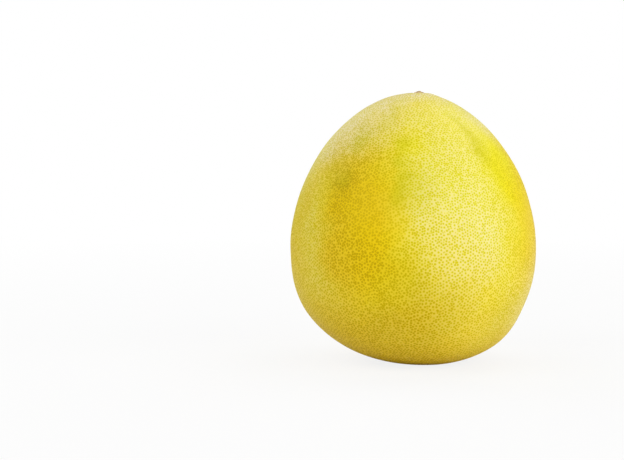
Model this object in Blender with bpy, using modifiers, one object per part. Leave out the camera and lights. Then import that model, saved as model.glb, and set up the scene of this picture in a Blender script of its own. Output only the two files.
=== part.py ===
"""Pomelo: one whole fruit, standing on the small flat spot at its blossom end, with the dry stem
button that stays in the crown where the fruit was cut from its tree.

Metres, +Z up. The origin is the middle of the flat spot. +X is to the fruit's right and +Y to its
back. The fruit is one turned body that is then let out of true, as a grown one is. The stem button
is a separate woody piece in a shallow seat in the crown.
"""

import math

import bpy

# Driving dimensions.
FRUIT_HEIGHT = 0.1634  # flat spot to the crown
FRUIT_WIDTH = 0.1500  # across the widest ring
WIDEST_HEIGHT = 0.0700  # flat spot to the widest ring
SHOULDER_ROUNDNESS = 1.85  # 2 is an ellipse above the widest ring, and less is a narrower shoulder
BASE_ROUNDNESS = 2.29  # the same below the widest ring, and more is a fuller base
REST_RADIUS = 0.0150  # flat spot that the fruit stands on
CROWN_SINK = 0.0009  # middle of the crown below the dome that the shoulders would meet in
CROWN_SINK_RADIUS = 0.0115
SEAT_RADIUS = 0.0039  # seat of the stem button
SEAT_DEPTH = 0.0014  # seat floor below the crown
BUTTON_RADIUS = 0.0034  # stem button across its calyx lobes
BUTTON_HEIGHT = 0.0027  # stem button from its foot to the top of its stub
STUB_RADIUS = 0.0012  # cut end of the stalk
CLEARANCE = 0.0003  # between the stem button and its seat

SHOULDER_RINGS = 24
BASE_RINGS = 17
TURN_STEPS = 72

# How the grown body leaves the turned one.
BODY_LEAN = (-0.0039, 0.0022)  # the widest rings and the shoulders lie off the flat spot
LEAN_SHARE = 0.23  # share of the height at which the body has leant all the way
STEM_SHIFT = (0.0029, -0.0012)  # the stem lies off the middle of the shoulders
STEM_SHIFT_RADIUS = 0.0180  # the rings inside this follow the stem
LOBES = (  # count round the fruit, swelling as a share of the radius, turn in degrees
    (2, 0.0060, 45.0),
    (3, 0.0065, 30.0),
    (5, 0.0040, 18.0),
)
CALYX_LOBES = 5
CALYX_NOTCH = 0.13  # depth of the notches between calyx lobes, as a share of their radius

RIND_COLOUR = (0.78, 0.66, 0.09, 1.0)
WOOD_COLOUR = (0.33, 0.22, 0.09, 1.0)


def clear_scene():
    for obj in list(bpy.data.objects):
        bpy.data.objects.remove(obj, do_unlink=True)


def new_collection(name):
    collection = bpy.data.collections.new(name)
    bpy.context.scene.collection.children.link(collection)
    return collection


def new_material(name, colour, roughness):
    material = bpy.data.materials.new(name)
    material.use_nodes = True
    shader = material.node_tree.nodes["Principled BSDF"]
    shader.inputs["Base Color"].default_value = colour
    shader.inputs["Roughness"].default_value = roughness
    shader.inputs["Metallic"].default_value = 0.0
    return material


def smooth_step(x):
    """0 below 0, 1 above 1, and smooth between them."""
    x = min(max(x, 0.0), 1.0)
    return x * x * (3.0 - 2.0 * x)


def rounded_quarter(along, up, roundness, angle):
    """A point of a superellipse quarter: the radius there and the height above or below its wide
    end."""
    return along * math.cos(angle) ** (2.0 / roundness), up * math.sin(angle) ** (2.0 / roundness)


def turned_mesh(name, outline, steps):
    """A closed mesh turned about Z from (radius, height) points that run from the top of the axis
    down the outer side to the foot of the axis."""
    wire = bpy.data.meshes.new(name + "_outline")
    edges = [(i, i + 1) for i in range(len(outline) - 1)]
    wire.from_pydata([(radius, 0.0, height) for radius, height in outline], edges, [])
    turning = bpy.data.objects.new(name + "_turning", wire)
    bpy.context.scene.collection.objects.link(turning)
    screw = turning.modifiers.new("Turn", "SCREW")
    screw.steps = steps
    screw.render_steps = steps
    screw.use_merge_vertices = True
    screw.merge_threshold = 0.00001
    graph = bpy.context.evaluated_depsgraph_get()
    mesh = bpy.data.meshes.new_from_object(turning.evaluated_get(graph))
    bpy.data.objects.remove(turning, do_unlink=True)
    bpy.data.meshes.remove(wire)
    mesh.name = name
    return mesh


def add_node(name, mesh, material, collection):
    mesh.materials.clear()
    mesh.materials.append(material)
    mesh.shade_smooth()
    node = bpy.data.objects.new(name, mesh)
    collection.objects.link(node)
    return node


def ring_centre(radius, height):
    """Where the middle of a ring of the fruit lies once the body has leant and the crown has
    followed the stem."""
    lean = smooth_step(height / (LEAN_SHARE * FRUIT_HEIGHT))
    crown = 0.0
    if height > WIDEST_HEIGHT:
        crown = smooth_step((STEM_SHIFT_RADIUS - radius) / (STEM_SHIFT_RADIUS - SEAT_RADIUS))
    return [BODY_LEAN[i] * lean + STEM_SHIFT[i] * crown for i in range(2)]


def lobe_swelling(angle, radius):
    """Share of its radius by which a point of the fruit lies further out than the turned body. It
    is nothing at the seat, so that the stem button still fits."""
    reach = smooth_step((radius - SEAT_RADIUS) / (0.25 * FRUIT_WIDTH))
    return reach * sum(
        swelling * math.cos(count * (angle - math.radians(turn))) for count, swelling, turn in LOBES
    )


def shoulder_outline():
    """From the rim of the seat down to the widest ring."""
    half_width = FRUIT_WIDTH / 2
    dome_height = FRUIT_HEIGHT + CROWN_SINK - WIDEST_HEIGHT
    rim = math.acos((SEAT_RADIUS / half_width) ** (SHOULDER_ROUNDNESS / 2.0))
    line = []
    for ring in range(SHOULDER_RINGS + 1):
        angle = rim * (1.0 - ring / SHOULDER_RINGS)
        radius, rise = rounded_quarter(half_width, dome_height, SHOULDER_ROUNDNESS, angle)
        sink = CROWN_SINK * (1.0 - smooth_step(radius / CROWN_SINK_RADIUS))
        line.append((radius, WIDEST_HEIGHT + rise - sink))
    return line


def base_outline():
    """From below the widest ring down to the edge of the flat spot, which cuts the curve off."""
    half_width = FRUIT_WIDTH / 2
    flat = math.acos((REST_RADIUS / half_width) ** (BASE_ROUNDNESS / 2.0))
    depth = WIDEST_HEIGHT / math.sin(flat) ** (2.0 / BASE_ROUNDNESS)
    line = []
    for ring in range(1, BASE_RINGS):
        angle = flat * ring / BASE_RINGS
        radius, drop = rounded_quarter(half_width, depth, BASE_ROUNDNESS, angle)
        line.append((radius, WIDEST_HEIGHT - drop))
    return [*line, (REST_RADIUS, 0.0)]


def fruit_outline():
    seat_floor = FRUIT_HEIGHT - SEAT_DEPTH
    return [
        (0.0, seat_floor),
        (SEAT_RADIUS, seat_floor),
        *shoulder_outline(),
        *base_outline(),
        (0.0, 0.0),
    ]


def build_fruit(collection):
    mesh = turned_mesh("fruit", fruit_outline(), TURN_STEPS)
    for vertex in mesh.vertices:
        x, y, height = vertex.co
        radius = math.hypot(x, y)
        swollen = 1.0 + lobe_swelling(math.atan2(y, x), radius)
        centre_x, centre_y = ring_centre(radius, height)
        vertex.co = (x * swollen + centre_x, y * swollen + centre_y, height)
    add_node("fruit", mesh, new_material("Rind", RIND_COLOUR, 0.42), collection)


def button_outline():
    """The calyx is a thin disc with a rounded rim, which rises to the cut stub of the stalk."""
    return [
        (0.0, BUTTON_HEIGHT),
        (0.72 * STUB_RADIUS, BUTTON_HEIGHT),
        (STUB_RADIUS, 0.92 * BUTTON_HEIGHT),
        (1.12 * STUB_RADIUS, 0.76 * BUTTON_HEIGHT),
        (1.60 * STUB_RADIUS, 0.66 * BUTTON_HEIGHT),
        (0.82 * BUTTON_RADIUS, 0.58 * BUTTON_HEIGHT),
        (BUTTON_RADIUS, 0.46 * BUTTON_HEIGHT),
        (0.96 * BUTTON_RADIUS, 0.32 * BUTTON_HEIGHT),
        (0.84 * BUTTON_RADIUS, 0.0),
        (0.0, 0.0),
    ]


def build_stem_button(collection):
    mesh = turned_mesh("stem_button", button_outline(), 6 * CALYX_LOBES)
    foot = FRUIT_HEIGHT - SEAT_DEPTH + CLEARANCE
    centre_x, centre_y = ring_centre(0.0, FRUIT_HEIGHT)
    for vertex in mesh.vertices:
        x, y, height = vertex.co
        out = smooth_step((math.hypot(x, y) - STUB_RADIUS) / (BUTTON_RADIUS - STUB_RADIUS))
        notch = 0.5 - 0.5 * math.cos(CALYX_LOBES * math.atan2(y, x))
        scale = 1.0 - CALYX_NOTCH * out * notch
        vertex.co = (x * scale + centre_x, y * scale + centre_y, height + foot)
    add_node("stem_button", mesh, new_material("Dry stem", WOOD_COLOUR, 0.85), collection)


def main():
    clear_scene()
    collection = new_collection("pomelo")
    build_fruit(collection)
    build_stem_button(collection)


main()
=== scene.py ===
"""The looks of a whole pomelo: its pitted rind, the dry stem button in its crown, and a plain studio.

Metres, +Z up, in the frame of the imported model. The rind is a skin of about twenty-seven
thousand oil glands wrapped round the solid fruit, and the stem button is modelled afresh in its
seat.
"""

import math

import bpy
import numpy as np
from bpy.props import FloatProperty, FloatVectorProperty, PointerProperty
from bpy.types import Operator, Panel, PropertyGroup
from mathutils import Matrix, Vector


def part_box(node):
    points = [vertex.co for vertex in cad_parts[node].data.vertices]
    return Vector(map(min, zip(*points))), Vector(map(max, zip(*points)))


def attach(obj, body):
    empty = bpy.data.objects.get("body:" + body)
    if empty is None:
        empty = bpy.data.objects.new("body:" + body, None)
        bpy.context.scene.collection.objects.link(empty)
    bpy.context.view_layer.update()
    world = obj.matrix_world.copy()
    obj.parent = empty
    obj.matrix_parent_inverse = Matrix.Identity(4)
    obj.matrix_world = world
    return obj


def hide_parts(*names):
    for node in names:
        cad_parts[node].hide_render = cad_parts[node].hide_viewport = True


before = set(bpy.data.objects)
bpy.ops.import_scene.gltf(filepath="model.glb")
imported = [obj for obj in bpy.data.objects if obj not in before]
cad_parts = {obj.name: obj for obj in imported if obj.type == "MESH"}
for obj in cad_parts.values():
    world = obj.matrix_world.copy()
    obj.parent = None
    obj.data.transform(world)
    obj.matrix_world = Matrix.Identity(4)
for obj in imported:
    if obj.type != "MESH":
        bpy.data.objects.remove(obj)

bl_info = {
    "name": "Pomelo",
    "version": (1, 0, 0),
    "blender": (4, 5, 0),
    "location": "3D View > Sidebar > Pomelo",
    "description": "Makes the pitted rind and the dry stem button of a pomelo, and a plain studio",
    "category": "Add Mesh",
}

MM = 0.001

# The fruit and its stem button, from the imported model.
FRUIT_LOW, FRUIT_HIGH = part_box("fruit")
FRUIT_MIDDLE = (FRUIT_LOW + FRUIT_HIGH) / 2
FRUIT_HALF = (FRUIT_HIGH - FRUIT_LOW) / 2
BUTTON_LOW, BUTTON_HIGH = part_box("stem_button")
BUTTON_MIDDLE = (BUTTON_LOW + BUTTON_HIGH) / 2
BUTTON_RADIUS = (BUTTON_HIGH.x - BUTTON_LOW.x) / 2
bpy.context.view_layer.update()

# The rind's mesh.
BALL_LEVEL = 2  # of the ball that the skin starts as
BALL_CUTS = 14
GLAND_SPLITS = 1  # leaves one gland for every 2.6 mm2 of skin
EVEN_ROUNDS = 3
EVEN_PASSES = 30  # of smoothing in each round
EASE_ROUNDS = 1  # of easing crowded glands apart
SCATTER_SEED = 4
SAME_POINT = 0.01 * MM
GLAND_CENTRE = "gland_centre"  # each triangle's own gland
UNFOLDED_WIDTH = 0.985  # of the square that the skin is laid out on

# The skin round the stem button. Reaches are shares of the button's radius.
SEAT_EDGE = 1.35  # the solid's seat is filled in out to here
CROWN_RISE = (1.1, 3.8)  # the skin rises inwards from the second to the first
FOLDS_START = (1.0, 2.0)
FOLDS_END = (2.0, 4.5)
FOLD_DEPTH = 0.14 * MM
FOLDS = ((7, 0.8, 0.6), (11, 0.0, 0.4))  # how many, turned by this angle, share of the depth

# The stem button.
CALYX_LOBES = 5
BUTTON_SIDES = 60
BUTTON_FOOT = 0.8  # share of the radius
BUTTON_RINGS = (  # share of the radius, share of the height
    (0.92, 0.30),
    (1.00, 0.52),
    (1.01, 0.65),
    (0.93, 0.73),
    (0.76, 0.78),
    (0.56, 0.83),
    (0.43, 0.87),
    (0.37, 0.92),
    (0.34, 0.98),
    (0.28, 1.01),
    (0.18, 0.97),
    (0.07, 0.94),
)
LOBED_RIM = (0.45, 1.0)  # shares of the radius between which the lobes grow
STUB_RIM = (0.3, 0.6)  # shares of the radius between which the stub ends
NOTCH_DROP = 0.25 * MM  # how far the rim sinks between two lobes
STUB_BULGE = 0.10 * MM  # how far the stub is out of round
STUB_SLANT = 0.12 * MM  # how far its cut end slants
FIBRE_GRAIN = 0.5 * MM  # how large the ridges of the dry wood are

# The skin ripens to gold towards the blossom end, from one height to the other, and in soft patches.
# In others it is a clearer yellow or green, or its glands hardly show. Some patches paint a whitish
# sheen of reflected light, and some paint shadow. A patch is how strong it is, how far it reaches,
# and its middle, in mm.
RIPE_HEIGHTS = (96 * MM, 4 * MM)
RIPE_PATCHES = (
    (0.60, 51, (-46, -36, 127)),
    (0.41, 38, (-35, -66, 116)),
    (1.24, 42, (-35, -55, 81)),
    (0.16, 36, (-3, -72, 80)),
    (0.09, 52, (-30, -47, 59)),
    (0.69, 60, (67, -14, 92)),
    (0.30, 40, (-11, -18, 158)),
    (0.24, 37, (1, -31, 125)),
    (-0.34, 46, (43, -38, 20)),
    (-0.42, 20, (-24, -74, 78)),
    (-0.12, 46, (5, -61, 27)),
    (0.18, 22, (-9, -67, 36)),
    (0.32, 26, (50, -6, 136)),
    (0.50, 50, (-72, -12, 82)),
    (0.60, 54, (-30, 66, 74)),
    (0.45, 42, (42, 54, 118)),
)
# Painted sheen: whitish patches where the lights' reflection lies on the upper left rim, the crown
# and the lower right rim.
PAINTED_SHEEN_PATCHES = (
    (1.60, 42, (-28, -11, 126)),
    (1.30, 29, (-14, -4, 144)),
    (0.36, 24, (31, -7, 150)),
    (0.22, 16, (38, -14, 141)),
    (0.45, 44, (66, -10, 38)),
    (0.95, 25, (1, -2, 164)),
    (0.30, 34, (8, 54, 124)),
)
VIVID_PATCHES = (
    (1.24, 45, (-30, -41, 98)),
    (0.35, 40, (-2, -47, 105)),
    (1.00, 44, (-31, -82, 61)),
    (1.18, 23, (-14, -60, 142)),
    (0.27, 32, (1, -42, 142)),
    (0.89, 49, (57, -32, 112)),
    (0.54, 26, (54, -47, 70)),
    (0.37, 22, (41, -54, 46)),
    (0.36, 30, (46, -33, 119)),
    (0.26, 28, (27, -30, 145)),
    (0.80, 44, (-56, 32, 100)),
    (0.60, 44, (24, 68, 84)),
    (0.50, 48, (-48, 46, 50)),
    (0.50, 40, (62, 28, 66)),
)
GREEN_PATCHES = (
    (0.26, 7, (-13, -15, 160)),
    (0.28, 7, (-16, -25, 155)),
    (0.28, 7, (-18, -31, 150)),
    (0.24, 8, (-21, -36, 145)),
    (0.60, 8, (-14, -49, 134)),
    (0.60, 8, (-15, -55, 125)),
    (0.55, 8, (-15, -60, 116)),
    (0.45, 8, (-16, -64, 107)),
    (0.35, 8, (-16, -67, 99)),
    (0.30, 9, (-46, -47, 113)),
    (0.45, 14, (-37, -36, 137)),
    (0.36, 8, (18, -28, 146)),
    (0.42, 8, (22, -32, 141)),
    (0.46, 8, (26, -35, 136)),
    (0.48, 9, (30, -38, 130)),
    (0.46, 9, (34, -40, 124)),
    (0.25, 9, (42, -42, 115)),
    (0.60, 14, (-30, 44, 132)),
    (0.50, 18, (14, 62, 112)),
    (0.45, 14, (62, 26, 104)),
)
# Painted shadow: darker patches on the front and the left, where the skin is shaded, and on one olive
# spot.
PAINTED_SHADOW_PATCHES = (
    (0.55, 15, (-47, -46, 112)),
    (0.45, 32, (4, -66, 38)),
    (0.38, 24, (-14, -71, 58)),
    (0.30, 20, (-23, -63, 34)),
    (0.30, 26, (44, -44, 30)),
    (0.35, 22, (-9, -64, 106)),
)
FAINT_PATCHES = (
    (0.38, 31, (-27, -62, 96)),
    (0.30, 44, (-22, -12, 134)),
    (0.20, 34, (20, -28, 142)),
    (0.40, 26, (66, -30, 92)),
)
PATCH_CORE = 0.15  # share of its reach over which a patch is at full strength

# Noise in the rind: how large its blotches are, from broad to fine.
DRIFT_SIZE = 34 * MM
STRAY_SIZE = 20 * MM
BROAD_SIZE = 16 * MM
MOTTLE_SIZE = 7 * MM
LUMP_SIZE = 4.5 * MM
UNEVEN_SIZE = 0.8 * MM
GRAIN_SIZE = 0.35 * MM

# What that noise does.
PATCH_STRAY = 16 * MM  # how far the edges of a patch wander
DRIFT_RIPE = 0.25  # how much riper or paler it makes the skin
MOTTLE_RIPE = 0.20
MOTTLE_GREEN = 1.1  # how much stronger or weaker it makes a green patch
STEADY_GREEN = 0.45
DRY_STRAY = 2.5 * MM  # how far the edges of the dry skin and of the scar wander
SCAR_STRAY = 3 * MM

# A gland's spot of colour: its radius is a usual gland's times the sum of these shares.
LEAST_RADIUS = 0.75
LUCK_RADIUS = 0.24  # differs from gland to gland
BROAD_RADIUS = 0.16  # differs over the skin
RIPE_RADIUS = 0.30  # grows with ripeness
RAGGED_PALE = 0.40  # how far out of round it is on pale skin, in mm
RAGGED_RIPE = 0.50  # and how much further on ripe skin
SPOT_EDGE = 0.12 * MM  # half the width of its soft edge
HALO_WIDTH = 0.4 * MM  # how far the skin round it is stained
HALO_STRENGTH = 0.8
FAINT_LUCK = 0.2  # share of the glands that are faint
FAINTEST = 0.4  # strength of the faintest

# The dry skin round the stem button and the scar at the blossom end.
DRY_REACH = 1.8  # in radii of the stem button
DRY_STRENGTH = 0.45
SCAR_REACH = (1.5 * MM, 4.0 * MM)
SCAR_STRENGTH = 0.9

# The rind's sheen and fine relief.
RIND_ROUGHNESS = 0.36  # at its smoothest
SPOT_ROUGHNESS = 0.10  # how much rougher a gland is
MOTTLE_ROUGHNESS = 0.10  # how much rougher the noise makes it
SPOT_DEPTH = 0.07 * MM
LUMP_DEPTH = 0.06 * MM
GRAIN_DEPTH = 0.012 * MM

# The dry wood.
BLOTCH_SIZE = 1.4 * MM
BLOTCH_DEPTH = 0.2 * MM
FIBRE_SIZE = 0.35 * MM
FIBRE_DEPTH = 0.15 * MM
FIBRE_STRETCH = (1.0, 1.0, 0.3)

# The studio.
WHITE = (1.0, 1.0, 1.0, 1.0)
FLOOR_RADIUS = 6.0
FLOOR_SIDES = 96
FLOOR_LIFTS = (0.1, 1.2)  # the floor turns wholly white between these distances from the fruit
LIGHT_DISTANCE = 1.3
LIGHTS = (  # name, degrees round from the front, degrees up, width and height
    ("Key", 46, 14, (1.5, 1.3)),
    ("Fill", -56, 36, (1.2, 0.8)),
    ("Back", -140, 38, (1.1, 1.2)),
    ("Rim", 145, 10, (0.8, 1.2)),
    ("Top", 130, 60, (1.0, 1.0)),
)


# ---------------------------------------------------------------------------------------------
# Modelling helpers


def select_none():
    """Leaves edit mode and deselects everything."""
    if bpy.context.mode != "OBJECT":
        bpy.ops.object.mode_set(mode="OBJECT")
    bpy.ops.object.select_all(action="DESELECT")


def select_only(obj):
    select_none()
    obj.select_set(True)
    bpy.context.view_layer.objects.active = obj


def edit(obj, kind="VERT", everything=True):
    """Opens the object in edit mode with everything or nothing selected."""
    select_only(obj)
    bpy.ops.object.mode_set(mode="EDIT")
    bpy.ops.mesh.select_mode(type=kind)
    bpy.ops.mesh.select_all(action="SELECT" if everything else "DESELECT")


def edit_where(obj, kind, wanted):
    """Opens the object in edit mode with only the vertices, edges or faces that pass the test."""
    edit(obj, kind, everything=False)
    bpy.ops.object.mode_set(mode="OBJECT")
    parts = {"VERT": obj.data.vertices, "EDGE": obj.data.edges, "FACE": obj.data.polygons}[kind]
    parts.foreach_set("select", [bool(wanted(part)) for part in parts])
    bpy.ops.object.mode_set(mode="EDIT")


def close_edit():
    bpy.ops.object.mode_set(mode="OBJECT")


def apply_modifier(obj, kind, **settings):
    """Adds a modifier with these settings and applies it."""
    select_only(obj)
    modifier = obj.modifiers.new(kind.title(), kind)
    for key, value in settings.items():
        setattr(modifier, key, value)
    bpy.ops.object.modifier_apply(modifier=modifier.name)


def draw_on_to(obj, guide):
    """Moves every point to the nearest place on the guide."""
    apply_modifier(obj, "SHRINKWRAP", target=guide, wrap_method="NEAREST_SURFACEPOINT")


def points_of(mesh):
    """The mesh's vertices as an array with a row for each."""
    points = np.empty(len(mesh.vertices) * 3)
    mesh.vertices.foreach_get("co", points)
    return points.reshape(-1, 3)


def set_points(mesh, points):
    mesh.vertices.foreach_set("co", points.ravel())
    mesh.update()


def round_axis(points, axis):
    """Each point's place beside an upright axis, as an array, and its distance and angle."""
    beside = points[:, :2] - np.array(axis.xy)
    return beside, np.hypot(beside[:, 0], beside[:, 1]), np.arctan2(beside[:, 1], beside[:, 0])


def corners_of(mesh):
    """The index of the vertex at each corner of each triangle, with a row for each triangle."""
    corners = np.empty(len(mesh.loops), dtype=np.int32)
    mesh.loops.foreach_get("vertex_index", corners)
    return corners.reshape(-1, 3)


def smooth_step(low, high, values):
    """0 at low, 1 at high, and smooth between them."""
    share = np.clip((values - low) / (high - low), 0.0, 1.0)
    return share * share * (3.0 - 2.0 * share)


def finish_piece(obj, name, replaced, material):
    """Names a finished piece, gives it its material and joins it to the frame."""
    obj.name = name
    obj.data.name = name
    obj.data.materials.clear()
    obj.data.materials.append(material)
    select_only(obj)
    bpy.ops.object.shade_smooth()
    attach(obj, "root")
    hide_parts(replaced)


# ---------------------------------------------------------------------------------------------
# Materials

# A Mix node has sockets for numbers, vectors and colours under the same names, so its share and its
# colours are found by their places.
MIX_SHARE = 0
MIX_A = 6
MIX_B = 7
MIX_RESULT = 2


class Wire:
    """A node's output. Its operators are for numbers, so that shader maths reads as an expression."""

    def __init__(self, recipe, socket):
        self.recipe = recipe
        self.socket = socket

    def math(self, operation, *values):
        sockets = dict(enumerate(values))
        return self.recipe.add("ShaderNodeMath", {"operation": operation}, sockets)

    def __add__(self, other):
        return self.math("ADD", self, other)

    def __sub__(self, other):
        return self.math("SUBTRACT", self, other)

    def __rsub__(self, other):
        return self.math("SUBTRACT", other, self)

    def __mul__(self, other):
        return self.math("MULTIPLY", self, other)

    __radd__ = __add__
    __rmul__ = __mul__

    def limited(self):
        """Held between 0 and 1."""
        return self.math("MINIMUM", self.math("MAXIMUM", self, 0.0), 1.0)


class Recipe:
    """One material, or the world, built up node by node from the shader that it starts with."""

    def __init__(self, owner, shader, **constants):
        self.owner = owner
        self.owner.use_nodes = True
        self.nodes = self.owner.node_tree.nodes
        self.links = self.owner.node_tree.links
        self.shader = self.nodes[shader]
        for socket, value in constants.items():
            self.shader.inputs[socket.replace("_", " ")].default_value = value

    def plug(self, socket, value):
        if isinstance(value, Wire):
            self.links.new(value.socket, socket)
        else:
            socket.default_value = value

    def add(self, kind, settings=None, sockets=None, output=0):
        """Adds a node, sets it, fills or links its sockets, and gives one of its outputs."""
        node = self.nodes.new(kind)
        for key, value in (settings or {}).items():
            if key == "stops":
                self.set_stops(node.color_ramp, value)
            else:
                setattr(node, key, value)
        for key, value in (sockets or {}).items():
            self.plug(node.inputs[key], value)
        return Wire(self, node.outputs[output])

    def set_stops(self, ramp, stops):
        while len(ramp.elements) < len(stops):
            ramp.elements.new(0.5)
        for element, (position, colour) in zip(ramp.elements, stops):
            element.position = position
            element.color = colour

    def place(self):
        """Where a point of the surface lies on the piece, in metres."""
        return self.add("ShaderNodeTexCoord", output="Object")

    def mapped(self, vector, shift=(0.0, 0.0, 0.0), scale=(1.0, 1.0, 1.0)):
        """The same place, stretched and then shifted."""
        sockets = {"Vector": vector, "Location": shift, "Scale": scale}
        return self.add("ShaderNodeMapping", sockets=sockets)

    def stray(self, place, size, far):
        """The same place, moved about by noise of this size."""
        wander = self.noise(place, size, output="Color")
        back = self.mapped(place, shift=(-far / 2, -far / 2, -far / 2))
        sockets = {0: wander, 1: (far, far, far), 2: back}
        return self.add("ShaderNodeVectorMath", {"operation": "MULTIPLY_ADD"}, sockets)

    def distance(self, a, b):
        return self.add("ShaderNodeVectorMath", {"operation": "DISTANCE"}, {0: a, 1: b}, "Value")

    def height(self, place):
        return self.add("ShaderNodeSeparateXYZ", sockets={"Vector": place}, output="Z")

    def noise(self, vector, size, detail=2.0, roughness=0.5, output="Fac"):
        """Noise whose blotches are about this size in metres."""
        sockets = {"Vector": vector, "Scale": 1.0 / size, "Detail": detail, "Roughness": roughness}
        return self.add("ShaderNodeTexNoise", sockets=sockets, output=output)

    def ramp(self, value, low, high, to_low=0.0, to_high=1.0):
        """to_low where the value is low or less, to_high where it is high or more, smooth between."""
        settings = {"interpolation_type": "SMOOTHSTEP"}
        sockets = {"Value": value, "From Min": low, "From Max": high}
        sockets.update({"To Min": to_low, "To Max": to_high})
        return self.add("ShaderNodeMapRange", settings, sockets, "Result")

    def mix(self, share, a, b, blend="MIX"):
        """Colour a turned towards colour b by this share."""
        settings = {"data_type": "RGBA", "blend_type": blend, "clamp_factor": True}
        sockets = {MIX_SHARE: share, MIX_A: a, MIX_B: b}
        return self.add("ShaderNodeMix", settings, sockets, MIX_RESULT)

    def patches(self, place, spots):
        """A mask of soft round patches, each (strength, reach, middle) in mm, that add up."""
        mask = None
        for strength, reach, middle in spots:
            away = self.distance(place, Vector(middle) * MM)
            patch = self.ramp(away, PATCH_CORE * reach * MM, reach * MM, strength, 0.0)
            mask = patch if mask is None else mask + patch
        return mask

    def finish(self, colour, roughness, heights):
        """Joins the colour and the roughness to the shader, and a bump for each (height, depth)."""
        self.plug(self.shader.inputs["Base Color"], colour)
        self.plug(self.shader.inputs["Roughness"], roughness)
        normal = None
        for height, depth in heights:
            sockets = {"Height": height, "Distance": depth, "Strength": 1.0}
            if normal is not None:
                sockets["Normal"] = normal
            normal = self.add("ShaderNodeBump", sockets=sockets, output="Normal")
        self.plug(self.shader.inputs["Normal"], normal)
        return self.owner


def new_material(name, **constants):
    return Recipe(bpy.data.materials.new(name), "Principled BSDF", **constants)


def rind_material(sizes):
    """Waxy skin from pale lemon to ripe gold, with darker oil glands and a few green patches."""
    recipe = new_material("Pomelo rind", Specular_IOR_Level=0.06)
    place = recipe.place()
    mottle = recipe.noise(place, MOTTLE_SIZE, detail=3.0, roughness=0.6)
    patchy = recipe.stray(place, STRAY_SIZE, PATCH_STRAY)

    # How ripe the skin is, from 0 at its palest to 1 at its most golden.
    drift = recipe.noise(place, DRIFT_SIZE, detail=3.0, roughness=0.55)
    ripe = recipe.patches(patchy, RIPE_PATCHES) + recipe.ramp(recipe.height(patchy), *RIPE_HEIGHTS)
    ripe = (ripe + (drift - 0.5) * DRIFT_RIPE + (mottle - 0.5) * MOTTLE_RIPE).limited()

    # A gland is a soft round spot of its own size, a little out of round, and larger on ripe skin.
    # Its halo is the oily skin just round it.
    gland = recipe.add("ShaderNodeAttribute", {"attribute_name": GLAND_CENTRE}, output="Vector")
    settings = {"noise_dimensions": "3D"}
    luck = recipe.add("ShaderNodeTexWhiteNoise", settings, {"Vector": gland}, "Value")
    uneven = recipe.noise(place, UNEVEN_SIZE, detail=1.0)
    broad = recipe.noise(place, BROAD_SIZE, detail=2.0)
    ragged = (ripe * RAGGED_RIPE + RAGGED_PALE) * MM
    away = recipe.distance(place, gland) + (uneven - 0.5) * ragged
    radius = luck * LUCK_RADIUS + broad * BROAD_RADIUS + ripe * RIPE_RADIUS + LEAST_RADIUS
    beyond = away - radius * sizes.gland_radius
    faint = recipe.patches(patchy, FAINT_PATCHES).limited()
    spot = recipe.ramp(beyond, -SPOT_EDGE, SPOT_EDGE, 1.0, 0.0)
    spot = spot * recipe.ramp(luck, 0.0, FAINT_LUCK, FAINTEST, 1.0) * (1.0 - faint)
    halo = recipe.ramp(beyond, 0.0, HALO_WIDTH, HALO_STRENGTH, 0.0)

    # The skin between the glands. The whitish blue of its pale and cream colours is partly a painted
    # highlight and sheen of the lights.
    skins = (sizes.pale_skin_and_highlight, sizes.cream_skin_and_sheen, sizes.lemon_skin, sizes.yellow_skin, sizes.gold_skin)
    stops = [(step / (len(skins) - 1), skin) for step, skin in enumerate(skins)]
    ground = recipe.add("ShaderNodeValToRGB", {"stops": stops}, {"Fac": ripe})
    vivid = recipe.patches(patchy, VIVID_PATCHES).limited()
    ground = recipe.mix(vivid, ground, tuple(sizes.vivid_share), blend="MULTIPLY")
    ground = recipe.mix(halo, ground, tuple(sizes.halo_share), blend="MULTIPLY")
    # Painted sheen: turns the skin whitish where reflected light would lie.
    painted_sheen_mask = recipe.patches(patchy, PAINTED_SHEEN_PATCHES).limited()
    ground = recipe.mix(painted_sheen_mask, ground, tuple(sizes.painted_sheen_colour))
    green = recipe.patches(patchy, GREEN_PATCHES) * (mottle * MOTTLE_GREEN + STEADY_GREEN)
    ground = recipe.mix(green.limited(), ground, tuple(sizes.green_skin))
    # Painted shadow: darkens the skin in these patches.
    painted_shadow_mask = recipe.patches(patchy, PAINTED_SHADOW_PATCHES).limited()
    ground = recipe.mix(painted_shadow_mask, ground, tuple(sizes.painted_shadow_share), blend="MULTIPLY")

    # A gland keeps a share of the colour of the skin round it.
    kept = recipe.mix(ripe, tuple(sizes.pale_gland), tuple(sizes.gold_gland))
    colour = recipe.mix(spot, ground, recipe.mix(1.0, ground, kept, blend="MULTIPLY"))

    # Skin that has dried brown round the stem button and at the blossom end.
    stem_away = recipe.distance(place, BUTTON_MIDDLE) + (mottle - 0.5) * DRY_STRAY
    dry_reach = DRY_REACH * BUTTON_RADIUS
    dry = recipe.ramp(stem_away, BUTTON_RADIUS, dry_reach, DRY_STRENGTH, 0.0)
    scar_away = recipe.distance(place, Vector((0, 0, 0))) + (mottle - 0.5) * SCAR_STRAY
    scar = recipe.ramp(scar_away, *SCAR_REACH, SCAR_STRENGTH, 0.0)
    colour = recipe.mix(dry, colour, tuple(sizes.dry_skin))
    colour = recipe.mix(scar, colour, tuple(sizes.scar))

    roughness = spot * SPOT_ROUGHNESS + (1.0 - mottle) * MOTTLE_ROUGHNESS + RIND_ROUGHNESS
    grain = recipe.noise(place, GRAIN_SIZE, detail=2.0)
    lumps = recipe.noise(place, LUMP_SIZE, detail=2.0)
    heights = ((1.0 - spot, SPOT_DEPTH), (lumps, LUMP_DEPTH), (grain, GRAIN_DEPTH))
    return recipe.finish(colour, roughness.limited(), heights)


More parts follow.
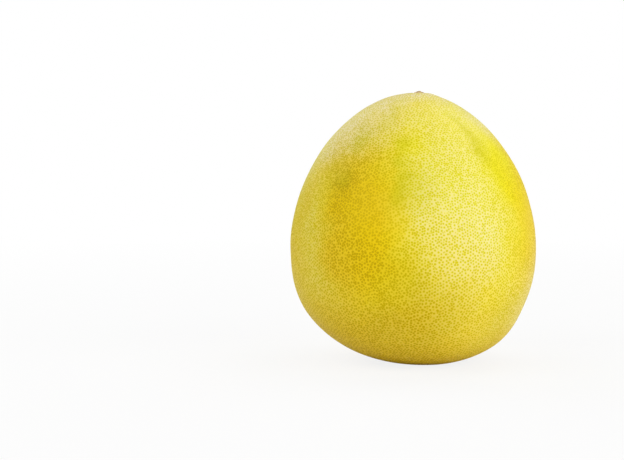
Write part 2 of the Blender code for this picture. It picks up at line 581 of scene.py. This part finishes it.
def stem_material(sizes):
    """Dry brown wood, paler along its raised fibres."""
    recipe = new_material("Dry stem", Specular_IOR_Level=0.25)
    place = recipe.place()
    blotch = recipe.noise(place, BLOTCH_SIZE, detail=3.0, roughness=0.6)
    fibre = recipe.noise(recipe.mapped(place, scale=FIBRE_STRETCH), FIBRE_SIZE, detail=3.0)
    colour = recipe.mix(recipe.ramp(blotch, 0.35, 0.65), tuple(sizes.bark), tuple(sizes.wood))
    colour = recipe.mix(recipe.ramp(fibre, 0.5, 0.75) * 0.6, colour, tuple(sizes.pale_wood))
    roughness = recipe.ramp(blotch, 0.3, 0.7, 0.95, 0.75)
    return recipe.finish(colour, roughness, ((fibre, FIBRE_DEPTH), (blotch, BLOTCH_DEPTH)))


def floor_material(sizes):
    """Pale and matt, and as white as the surround from a little way out, so that no edge shows."""
    floor = tuple(sizes.floor)
    recipe = new_material("Pale floor", Base_Color=floor, Roughness=0.9, Specular_IOR_Level=0.1)
    away = recipe.distance(recipe.place(), Vector((0, 0, 0)))
    seen = recipe.add("ShaderNodeLightPath", output="Is Camera Ray")
    lift = recipe.ramp(away, *FLOOR_LIFTS, sizes.floor_lift, 1.0)
    white = recipe.add("ShaderNodeEmission", sockets={"Color": WHITE})
    shaded = Wire(recipe, recipe.shader.outputs[0])
    lifted = recipe.add("ShaderNodeMixShader", sockets={0: lift * seen, 1: shaded, 2: white})
    recipe.plug(recipe.nodes["Material Output"].inputs["Surface"], lifted)
    return recipe.owner


# ---------------------------------------------------------------------------------------------
# Settings


def length(name, description, default, **limits):
    limits["unit"] = "LENGTH"
    return FloatProperty(name=name, description=description, default=default, **limits)


def colour(name, description, default):
    settings = {"size": 4, "subtype": "COLOR", "min": 0.0, "max": 1.0}
    settings["default"] = (*default, 1.0)
    return FloatVectorProperty(name=name, description=description, **settings)


def factor(name, description, default):
    settings = {"subtype": "FACTOR", "min": 0.0, "max": 1.0}
    return FloatProperty(name=name, description=description, default=default, **settings)


def power(name, where, default):
    settings = {"description": f"Power of the light {where}", "unit": "POWER", "min": 0.0}
    return FloatProperty(name=name, default=default, **settings)


class RindSettings(PropertyGroup):
    scatter: length("Scatter", "How far a gland strays from an even pattern", 1.45 * MM, min=0.0)
    gland_sink: length("Gland sink", "How far a gland lies below the skin", 0.07 * MM, min=0.0)
    gland_radius: length("Gland radius", "Radius of a usual oil gland", 0.535 * MM, min=0.0)
    swell_size: length("Swell size", "Width of the low swellings of the skin", 38 * MM, min=0.001)
    swell_height: length("Swell height", "Height of the low swellings", 0.9 * MM, min=0.0)
    crown_lift: length("Crown lift", "How far the skin rises to the stem button", 0.4 * MM, min=0.0)
    # The pale and cream colours are partly painted highlight and sheen.
    pale_skin_and_highlight: colour("Pale skin and highlight", "Skin where it is least ripe, whitened by painted highlight", (0.88, 0.795, 0.300))
    cream_skin_and_sheen: colour("Cream skin and sheen", "Skin a little riper than pale skin, whitened by painted sheen", (0.88, 0.769, 0.254))
    lemon_skin: colour("Lemon skin", "Skin that is half ripe", (0.88, 0.716, 0.114))
    yellow_skin: colour("Yellow skin", "Skin that is nearly ripe", (0.88, 0.671, 0.064))
    gold_skin: colour("Gold skin", "Skin where it is ripest", (0.88, 0.638, 0.042))
    # Painted sheen of reflected light, not a colour of the skin.
    painted_sheen_colour: colour("Painted sheen", "Whitish sheen of reflected light, painted on the skin", (0.88, 0.775, 0.43))
    green_skin: colour("Green skin", "Skin that stayed green", (0.70, 0.63, 0.01))
    vivid_share: colour("Vivid share", "Share of its colour that vivid skin keeps", (1.0, 1.0, 0.1))
    # Painted shadow, laid over the skin's own colour.
    painted_shadow_share: colour("Painted shadow share", "Share of its colour that the skin keeps under painted shadow", (0.78, 0.76, 0.6))
    halo_share: colour("Halo share", "Share that the skin round a gland keeps", (1.0, 1.0, 0.35))
    pale_gland: colour("Pale gland", "Share that a gland keeps on pale skin", (0.835, 0.825, 0.0))
    gold_gland: colour("Gold gland", "Share that a gland keeps on gold skin", (0.725, 0.645, 0.0))
    dry_skin: colour("Dry skin", "Skin round the stem button", (0.68, 0.53, 0.25))
    scar: colour("Scar", "Scar at the blossom end", (0.16, 0.085, 0.025))


class StemSettings(PropertyGroup):
    notch: factor("Notch", "Depth of the notches between calyx lobes", 0.16)
    roughen: length("Roughen", "How far the dry wood is out of true", 0.10 * MM, min=0.0)
    wood: colour("Wood", "Dry wood", (0.66, 0.47, 0.22))
    bark: colour("Bark", "Dark bark", (0.40, 0.25, 0.09))
    pale_wood: colour("Pale wood", "Raised fibres", (0.80, 0.65, 0.38))


class StudioSettings(PropertyGroup):
    floor: colour("Floor", "Colour of the floor", (0.86, 0.86, 0.86))
    floor_lift: factor("Floor lift", "How far the floor's shading is lifted to white", 0.85)
    lens: FloatProperty(
        name="Lens", description="Focal length", default=80.0, min=1.0, unit="CAMERA"
    )
    distance: length("Distance", "Camera to the fruit", 0.847, min=0.1)
    lowering: FloatProperty(
        name="Lowering",
        description="How steeply the camera looks down",
        default=math.radians(3.5),
        subtype="ANGLE",
    )
    aside: length("Aside", "Camera's place to the side of the blossom end", -0.0657)
    aim_height: length("Aim height", "Height that the camera aims at", 0.0805)
    key_power: power("Key", "from the front right", 16.2)
    fill_power: power("Fill", "from the left", 7.2)
    back_power: power("Back", "from behind on the left", 6.6)
    rim_power: power("Rim", "on the right rim", 1.6)
    top_power: power("Top", "from above", 6.2)
    surround: factor("Surround", "Strength of the light all round", 0.1)


# ---------------------------------------------------------------------------------------------
# Operators


class POMELO_OT_rind(Operator):
    """Makes the fruit's skin, with a dimple for every oil gland"""

    bl_idname = "pomelo.rind"
    bl_label = "Rind"
    bl_options = {"REGISTER", "UNDO"}

    def execute(self, context):
        sizes = context.scene.pomelo_rind
        guide = self.smooth_guide()
        rind = self.even_skin(guide)
        for _ in range(GLAND_SPLITS):
            self.split_triangles(rind)
        glands = self.scatter(rind, guide, sizes)
        self.split_triangles(rind)
        draw_on_to(rind, guide)
        bpy.data.objects.remove(guide, do_unlink=True)
        self.swell(rind, sizes)
        self.shape_ends(rind, sizes)
        self.sink_glands(rind, glands, sizes)
        self.mark_glands(rind.data, glands)
        self.unfold(rind.data)
        finish_piece(rind, "rind", "fruit", rind_material(sizes))
        return {"FINISHED"}

    def smooth_guide(self):
        """A smooth copy of the solid fruit with the stem button's seat filled in."""
        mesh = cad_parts["fruit"].data.copy()
        guide = bpy.data.objects.new("rind_guide", mesh)
        bpy.context.scene.collection.objects.link(guide)
        edit(guide)
        bpy.ops.mesh.remove_doubles(threshold=SAME_POINT)
        flat, square = math.radians(30), math.radians(40)
        bpy.ops.mesh.tris_convert_to_quads(face_threshold=flat, shape_threshold=square)
        close_edit()
        reach = BUTTON_RADIUS * SEAT_EDGE

        def in_seat(vertex):
            away = math.hypot(vertex.co.x - BUTTON_MIDDLE.x, vertex.co.y - BUTTON_MIDDLE.y)
            return away < reach and vertex.co.z > FRUIT_MIDDLE.z

        edit_where(guide, "VERT", in_seat)
        bpy.ops.mesh.delete(type="VERT")
        bpy.ops.mesh.select_mode(type="EDGE")
        bpy.ops.mesh.select_non_manifold()
        bpy.ops.mesh.edge_face_add()
        bpy.ops.mesh.poke()
        close_edit()
        apply_modifier(guide, "SUBSURF", levels=2, render_levels=2)
        return guide

    def even_skin(self, guide):
        """A ball of even triangles, drawn on to the guide."""
        select_none()
        bpy.ops.mesh.primitive_ico_sphere_add(
            subdivisions=BALL_LEVEL, radius=1.0, location=FRUIT_MIDDLE
        )
        rind = bpy.context.object
        rind.scale = FRUIT_HALF
        select_only(rind)
        bpy.ops.object.transform_apply(location=True, rotation=False, scale=True)
        edit(rind, "EDGE")
        bpy.ops.mesh.subdivide(number_cuts=BALL_CUTS)
        close_edit()
        for _ in range(EVEN_ROUNDS):
            draw_on_to(rind, guide)
            apply_modifier(rind, "SMOOTH", factor=0.5, iterations=EVEN_PASSES)
        draw_on_to(rind, guide)
        return rind

    def split_triangles(self, rind):
        """Puts a point in every triangle and turns the old edges across, which leaves three times
        as many triangles, each with one old point and two new ones."""
        edit(rind, "EDGE")
        bpy.ops.mesh.mark_seam(clear=False)
        bpy.ops.mesh.poke()
        edit_where(rind, "EDGE", lambda edge: edge.use_seam)
        bpy.ops.mesh.dissolve_edges(use_verts=False, use_face_split=False)
        bpy.ops.mesh.select_all(action="SELECT")
        bpy.ops.mesh.quads_convert_to_tris(quad_method="SHORTEST_DIAGONAL")
        bpy.ops.mesh.mark_seam(clear=True)
        close_edit()

    def scatter(self, rind, guide, sizes):
        """Scatters the glands, eases the most crowded ones apart, and gives their number."""
        edit(rind)
        bpy.ops.transform.vertex_random(
            offset=sizes.scatter, uniform=0.0, normal=0.0, seed=SCATTER_SEED
        )
        for _ in range(EASE_ROUNDS):
            bpy.ops.mesh.beautify_fill(angle_limit=math.pi)
            bpy.ops.mesh.vertices_smooth(factor=0.5, repeat=1)
        bpy.ops.mesh.beautify_fill(angle_limit=math.pi)
        close_edit()
        draw_on_to(rind, guide)
        return len(rind.data.vertices)

    def swell(self, rind, sizes):
        """Raises broad, low swellings."""
        clouds = bpy.data.textures.new("Rind swellings", "CLOUDS")
        clouds.noise_scale = sizes.swell_size
        clouds.noise_depth = 1
        apply_modifier(rind, "DISPLACE", texture=clouds, strength=sizes.swell_height, mid_level=0.2)

    def shape_ends(self, rind, sizes):
        """Draws the skin in round the stem button, with folds, and keeps the base level."""
        points = points_of(rind.data)
        _, away, turn = round_axis(points, BUTTON_MIDDLE)
        away = away / BUTTON_RADIUS
        upper = points[:, 2] > FRUIT_MIDDLE.z
        lift = sizes.crown_lift * (1.0 - smooth_step(*CROWN_RISE, away))
        folds = sum(share * np.cos(count * turn + angle) for count, angle, share in FOLDS)
        fold_reach = smooth_step(*FOLDS_START, away) * (1.0 - smooth_step(*FOLDS_END, away))
        points[:, 2] += np.where(upper, lift - FOLD_DEPTH * folds * fold_reach, 0.0)
        points[:, 2] = np.maximum(points[:, 2], 0.0)
        set_points(rind.data, points)

    def sink_glands(self, rind, glands, sizes):
        edit_where(rind, "VERT", lambda vertex: vertex.index < glands)
        bpy.ops.transform.shrink_fatten(value=-sizes.gland_sink)
        close_edit()

    def mark_glands(self, mesh, glands):
        """Tells each triangle where its gland is."""
        own_gland = corners_of(mesh).min(axis=1)
        if own_gland.max() >= glands:
            raise RuntimeError("a triangle of the rind has no gland")
        attribute = mesh.attributes.new(GLAND_CENTRE, "FLOAT_VECTOR", "FACE")
        attribute.data.foreach_set("vector", points_of(mesh)[own_gland].ravel())

    def unfold(self, mesh):
        """Lays the skin out flat on a square: the upper half in the middle and the lower half in
        the four corners, every part at the same scale."""
        points = (points_of(mesh) - np.array(FRUIT_MIDDLE)) / np.array(FRUIT_HALF)
        ways = points / np.linalg.norm(points, axis=1)[:, None]
        corner_ways = ways[corners_of(mesh)]
        middles = corner_ways.mean(axis=1)
        face_sides = np.where(middles[:, :2] < 0, -1.0, 1.0)[:, None, :]
        own_sides = np.where(corner_ways[:, :, :2] < 0, -1.0, 1.0)
        lower = corner_ways[:, :, 2] < 0
        sides = np.where(lower[:, :, None], face_sides, own_sides)
        out = np.sqrt(1.0 - np.abs(corner_ways[:, :, 2]))
        quarter = corner_ways[:, :, :2] * sides
        across = out * np.arctan2(quarter[:, :, 1], quarter[:, :, 0]) / (math.pi / 2)
        along = out - across
        flat_x = np.where(lower, 1.0 - across, along)
        flat_y = np.where(lower, 1.0 - along, across)
        flat = 0.5 + 0.5 * UNFOLDED_WIDTH * np.stack([flat_x, flat_y], axis=2) * sides
        mesh.uv_layers.new(name="OFBake", do_init=False)
        mesh.uv_layers["OFBake"].uv.foreach_set("vector", flat.astype(np.float32).ravel())


class POMELO_OT_stem_button(Operator):
    """Makes the dry calyx with its five lobes and the cut stub of the stalk"""

    bl_idname = "pomelo.stem_button"
    bl_label = "Stem button"
    bl_options = {"REGISTER", "UNDO"}

    def execute(self, context):
        sizes = context.scene.pomelo_stem
        height = BUTTON_HIGH.z - BUTTON_LOW.z
        foot = Vector((BUTTON_MIDDLE.x, BUTTON_MIDDLE.y, BUTTON_LOW.z))
        foot_radius = BUTTON_FOOT * BUTTON_RADIUS
        select_none()
        bpy.ops.mesh.primitive_circle_add(
            vertices=BUTTON_SIDES, radius=foot_radius, fill_type="NGON", location=foot
        )
        button = context.object
        bpy.ops.object.transform_apply(location=True, rotation=False, scale=False)
        edit(button, "FACE")
        bpy.ops.mesh.flip_normals()
        edit(button, "EDGE")
        last_radius, last_height = BUTTON_FOOT, 0.0
        for radius, rise in BUTTON_RINGS:
            up = {"value": (0, 0, (rise - last_height) * height)}
            bpy.ops.mesh.extrude_region_move(TRANSFORM_OT_translate=up)
            share = radius / last_radius
            bpy.ops.transform.resize(value=(share, share, 1.0), center_override=foot)
            last_radius, last_height = radius, rise
        bpy.ops.mesh.edge_face_add()
        bpy.ops.mesh.poke()
        bpy.ops.mesh.select_all(action="SELECT")
        bpy.ops.mesh.normals_make_consistent(inside=False)
        close_edit()
        self.cut_lobes(button, foot, sizes)
        apply_modifier(button, "SUBSURF", levels=1, render_levels=1)
        fibres = bpy.data.textures.new("Stem fibres", "CLOUDS")
        fibres.noise_scale = FIBRE_GRAIN
        apply_modifier(button, "DISPLACE", texture=fibres, strength=sizes.roughen, mid_level=0.5)
        finish_piece(button, "stem_calyx", "stem_button", stem_material(sizes))
        return {"FINISHED"}

    def cut_lobes(self, button, foot, sizes):
        """Notches the rim between the lobes, sinks it there, and puts the stub out of round."""
        points = points_of(button.data)
        beside, away, turn = round_axis(points, foot)
        away = away / BUTTON_RADIUS
        notched = smooth_step(*LOBED_RIM, away) * (0.5 - 0.5 * np.cos(CALYX_LOBES * turn)) ** 2
        points[:, :2] = np.array(foot.xy) + beside * (1.0 - sizes.notch * notched)[:, None]
        points[:, 2] -= NOTCH_DROP * notched
        stub = 1.0 - smooth_step(*STUB_RIM, away)
        points[:, 0] += STUB_BULGE * stub * np.cos(3 * turn)
        points[:, 2] += STUB_SLANT * stub * np.cos(turn + 0.6)
        set_points(button.data, points)


class POMELO_OT_studio(Operator):
    """Makes the floor, the lights and the camera"""

    bl_idname = "pomelo.studio"
    bl_label = "Studio"
    bl_options = {"REGISTER", "UNDO"}

    def execute(self, context):
        sizes = context.scene.pomelo_studio
        self.make_floor(sizes)
        self.make_surround(context.scene, sizes)
        for name, round_from_front, up, size in LIGHTS:
            watts = getattr(sizes, name.lower() + "_power")
            self.make_light(name, round_from_front, up, size, watts)
        self.make_camera(context.scene, sizes)
        context.scene.view_settings.view_transform = "Standard"
        return {"FINISHED"}

    def make_floor(self, sizes):
        select_none()
        bpy.ops.mesh.primitive_circle_add(
            vertices=FLOOR_SIDES, radius=FLOOR_RADIUS, fill_type="NGON", location=(0, 0, 0)
        )
        floor = bpy.context.object
        floor.name = "floor"
        floor.data.materials.append(floor_material(sizes))

    def make_surround(self, scene, sizes):
        """White to the eye, and dimmer as a light."""
        scene.world = bpy.data.worlds.new("Studio")
        recipe = Recipe(scene.world, "Background", Color=WHITE)
        seen = recipe.add("ShaderNodeLightPath", output="Is Camera Ray")
        sockets = {"Value": seen, "To Min": sizes.surround, "To Max": 1.0}
        strength = recipe.add("ShaderNodeMapRange", sockets=sockets, output="Result")
        recipe.plug(recipe.shader.inputs["Strength"], strength)

    def make_light(self, name, round_from_front, up, size, watts):
        """A soft panel that faces the fruit, placed by two angles in degrees."""
        light = bpy.data.lights.new(name, "AREA")
        light.shape = "RECTANGLE"
        light.size, light.size_y = size
        light.energy = watts
        lamp = bpy.data.objects.new(name, light)
        bpy.context.scene.collection.objects.link(lamp)
        turn, tilt = math.radians(round_from_front), math.radians(up)
        level = math.cos(tilt)
        way = Vector((math.sin(turn) * level, -math.cos(turn) * level, math.sin(tilt)))
        lamp.location = FRUIT_MIDDLE + way * LIGHT_DISTANCE
        lamp.rotation_euler = (-way).to_track_quat("-Z", "Y").to_euler()
        lamp.visible_camera = False

    def make_camera(self, scene, sizes):
        camera = bpy.data.objects.new("Camera", bpy.data.cameras.new("Camera"))
        scene.collection.objects.link(camera)
        camera.data.lens = sizes.lens
        back = sizes.distance * math.cos(sizes.lowering)
        up = sizes.distance * math.sin(sizes.lowering)
        camera.location = (sizes.aside, -back, sizes.aim_height + up)
        camera.rotation_euler = (math.pi / 2 - sizes.lowering, 0.0, 0.0)
        scene.camera = camera


class POMELO_PT_panel(Panel):
    bl_label = "Pomelo"
    bl_idname = "POMELO_PT_panel"
    bl_space_type = "VIEW_3D"
    bl_region_type = "UI"
    bl_category = "Pomelo"

    def draw(self, context):
        layout = self.layout
        scene = context.scene
        for settings, operator in (
            (scene.pomelo_rind, POMELO_OT_rind),
            (scene.pomelo_stem, POMELO_OT_stem_button),
            (scene.pomelo_studio, POMELO_OT_studio),
        ):
            box = layout.box()
            for name in settings.__annotations__:
                box.prop(settings, name)
            box.operator(operator.bl_idname)


CLASSES = (
    RindSettings,
    StemSettings,
    StudioSettings,
    POMELO_OT_rind,
    POMELO_OT_stem_button,
    POMELO_OT_studio,
    POMELO_PT_panel,
)


def register():
    for cls in CLASSES:
        bpy.utils.register_class(cls)
    bpy.types.Scene.pomelo_rind = PointerProperty(type=RindSettings)
    bpy.types.Scene.pomelo_stem = PointerProperty(type=StemSettings)
    bpy.types.Scene.pomelo_studio = PointerProperty(type=StudioSettings)


def unregister():
    del bpy.types.Scene.pomelo_studio
    del bpy.types.Scene.pomelo_stem
    del bpy.types.Scene.pomelo_rind
    for cls in reversed(CLASSES):
        bpy.utils.unregister_class(cls)


def main():
    register()
    bpy.ops.pomelo.rind()
    bpy.ops.pomelo.stem_button()
    bpy.ops.pomelo.studio()


if __name__ == "__main__":
    main()
